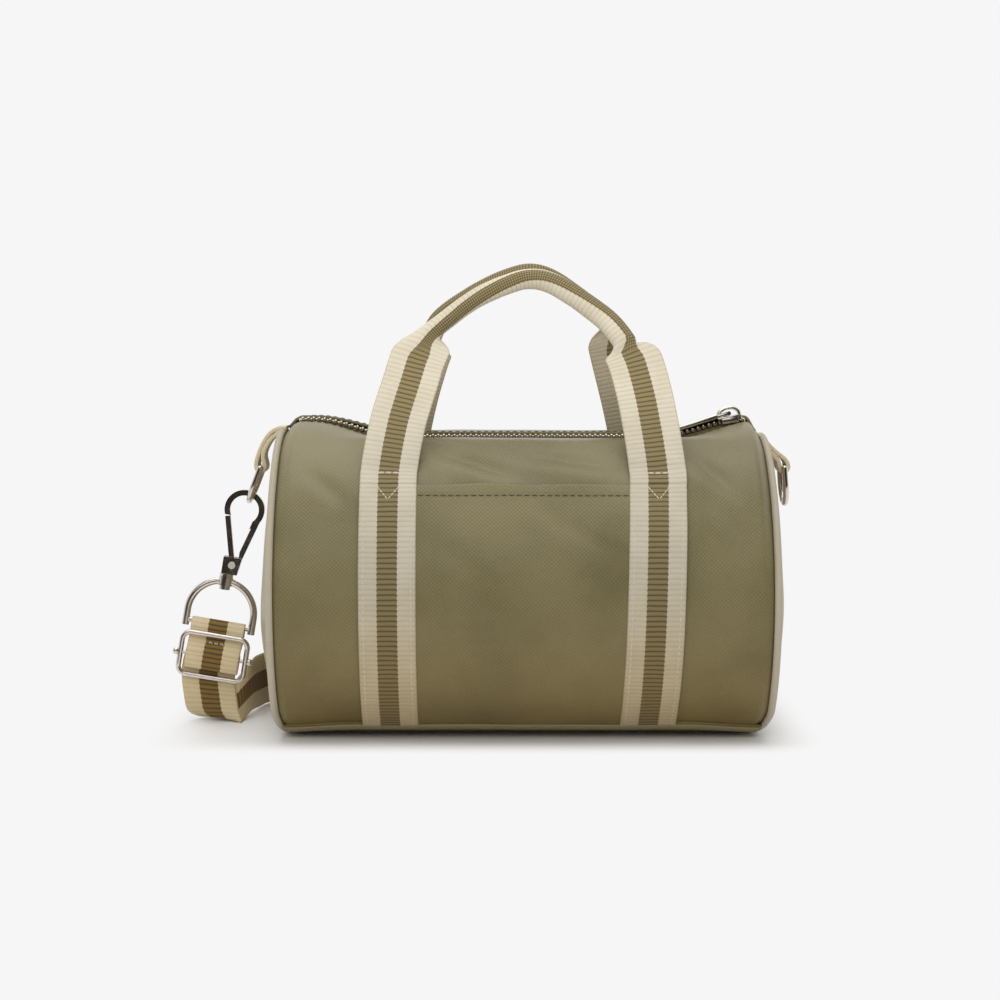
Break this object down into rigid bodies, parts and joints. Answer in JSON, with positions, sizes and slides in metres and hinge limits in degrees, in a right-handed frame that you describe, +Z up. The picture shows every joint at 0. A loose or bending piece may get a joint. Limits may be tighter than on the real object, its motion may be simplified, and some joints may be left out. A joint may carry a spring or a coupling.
{
  "type": "barrel bag",
  "caption": "Small barrel bag with a flat base, zipped mouth, two grab handles, end rings and a clip-on shoulder strap gathered behind it.",
  "frame": {"origin": "centre of the flat base, on the floor", "axes": "+Z up, +X along the barrel to the right as seen from the front, -Y towards the front"},
  "size_m": [0.3421, 0.2257, 0.2584],
  "materials": {
    "olive_canvas": "coated diagonal weave, soft sheen",
    "cream_canvas": "coated weave, soft sheen",
    "webbing": "ribbed webbing, cream with an olive middle stripe",
    "strap_webbing": "ribbed webbing, cream with an olive middle stripe",
    "zip_tape": "woven tape",
    "zip_metal": "polished nickel",
    "leather": "smooth, painted edges",
    "nickel": "polished nickel",
    "lining": "plain weave",
    "board": "plain"
  },
  "bodies": {
    "bag": {"front_panel": "olive_canvas", "back_panel": "olive_canvas", "base_panel": "olive_canvas", "base_board": "board", "lining": "lining", "inner_pocket": "lining", "left_end_panel": "cream_canvas", "right_end_panel": "cream_canvas", "left_piping": "cream_canvas", "right_piping": "cream_canvas", "front_pocket": "olive_canvas", "front_webbing_left": "webbing", "front_webbing_right": "webbing", "back_webbing_left": "webbing", "back_webbing_right": "webbing", "zip_end_left": "zip_metal", "zip_end_right": "zip_metal", "zip_stops": "zip_metal", "left_tab": "leather", "right_tab": "leather", "strap_return": "strap_webbing", "clip_end_fold": "strap_webbing", "free_end_fold": "strap_webbing", "shoulder_strap": "strap_webbing"},
    "front_lip": {"front_mouth_lip": "olive_canvas", "zip_tape_front": "zip_tape", "zip_teeth_front": "zip_metal"},
    "back_lip": {"back_mouth_lip": "olive_canvas", "zip_tape_back": "zip_tape", "zip_teeth_back": "zip_metal"},
    "slider": {"zip_slider": "zip_metal"},
    "puller": {"zip_puller": "zip_metal"},
    "front_handle": {"front_handle": "webbing"},
    "back_handle": {"back_handle": "webbing"},
    "left_ring": {"left_ring": "nickel"},
    "right_ring": {"right_ring": "nickel"},
    "clip_loop": {"left_swivel_loop": "nickel"},
    "clip_hook": {"left_hook_body": "nickel", "left_gate_pin": "nickel"},
    "clip_gate": {"left_hook_gate": "nickel"},
    "free_loop": {"free_swivel_loop": "nickel"},
    "free_hook": {"free_hook_body": "nickel", "free_gate_pin": "nickel"},
    "free_gate": {"free_hook_gate": "nickel"},
    "adjuster": {"adjuster_frame": "nickel"},
    "adjuster_bar": {"adjuster_bar": "nickel", "adjuster_wrap": "strap_webbing"}
  },
  "joints": [
    {"name": "front_lip_fold", "type": "hinge", "parent": "bag", "child": "front_lip", "pos_m": [0, -0.04, 0.1609], "axis": [1, 0, 0], "range_deg": [0, 70]},
    {"name": "back_lip_fold", "type": "hinge", "parent": "bag", "child": "back_lip", "pos_m": [0, 0.04, 0.1609], "axis": [-1, 0, 0], "range_deg": [0, 70]},
    {"name": "front_handle_fold", "type": "hinge", "parent": "bag", "child": "front_handle", "pos_m": [0, -0.06422, 0.14516], "axis": [1, 0, 0], "range_deg": [0, 150]},
    {"name": "back_handle_fold", "type": "hinge", "parent": "bag", "child": "back_handle", "pos_m": [0, 0.06422, 0.14516], "axis": [-1, 0, 0], "range_deg": [0, 150]},
    {"name": "zip_run", "type": "hinge", "parent": "bag", "child": "slider", "pos_m": [0, 0, 1.11057], "axis": [0, 1, 0], "range_deg": [0, 13.92]},
    {"name": "puller_turn", "type": "hinge", "parent": "slider", "child": "puller", "pos_m": [0.11442, 0, 0.17315], "axis": [0, 1, 0], "range_deg": [0, 165]},
    {"name": "left_ring_turn", "type": "hinge", "parent": "bag", "child": "left_ring", "pos_m": [-0.1445, 0, 0.14359], "axis": [0, 1, 0], "range_deg": [-3, 3]},
    {"name": "right_ring_turn", "type": "hinge", "parent": "bag", "child": "right_ring", "pos_m": [0.1445, 0, 0.14359], "axis": [0, -1, 0], "range_deg": [-2, 80]},
    {"name": "clip_loop_turn", "type": "hinge", "parent": "bag", "child": "clip_loop", "pos_m": [-0.1695, 0, 0.05559], "axis": [0.9863, 0, -0.165], "range_deg": [-1.5, 1.5]},
    {"name": "clip_swivel", "type": "hinge", "parent": "clip_loop", "child": "clip_hook", "pos_m": [-0.16546, 0, 0.07976], "axis": [0.165, 0, 0.9863], "range_deg": [-8, 8]},
    {"name": "clip_gate_turn", "type": "hinge", "parent": "clip_hook", "child": "clip_gate", "pos_m": [-0.16159, 0, 0.0889], "axis": [0, 1, 0], "range_deg": [0, 22], "stiffness_Nm_per_rad": 0.01, "springref_deg": -17.19},
    {"name": "free_loop_turn", "type": "hinge", "parent": "bag", "child": "free_loop", "pos_m": [0.024, 0.11426, 0.00594], "axis": [0, -1, 0], "range_deg": [0, 80]},
    {"name": "free_swivel", "type": "hinge", "parent": "free_loop", "child": "free_hook", "pos_m": [0.04847, 0.11426, 0.00466], "axis": [0.9986, 0, -0.0523], "continuous": true},
    {"name": "free_gate_turn", "type": "hinge", "parent": "free_hook", "child": "free_gate", "pos_m": [0.0581, 0.11656, 0.00415], "axis": [0.0523, 0, 0.9986], "range_deg": [0, 22], "stiffness_Nm_per_rad": 0.01, "springref_deg": -17.19},
    {"name": "adjuster_slide", "type": "slide", "parent": "bag", "child": "adjuster", "axis": [-0.165, 0, -0.9863], "range_m": [0, 0.012], "deforming": ["strap_return"]},
    {"name": "adjuster_bar_slide", "type": "slide", "parent": "adjuster", "child": "adjuster_bar", "axis": [-0.165, 0, -0.9863], "range_m": [-0.003, 0.003]}
  ]
}
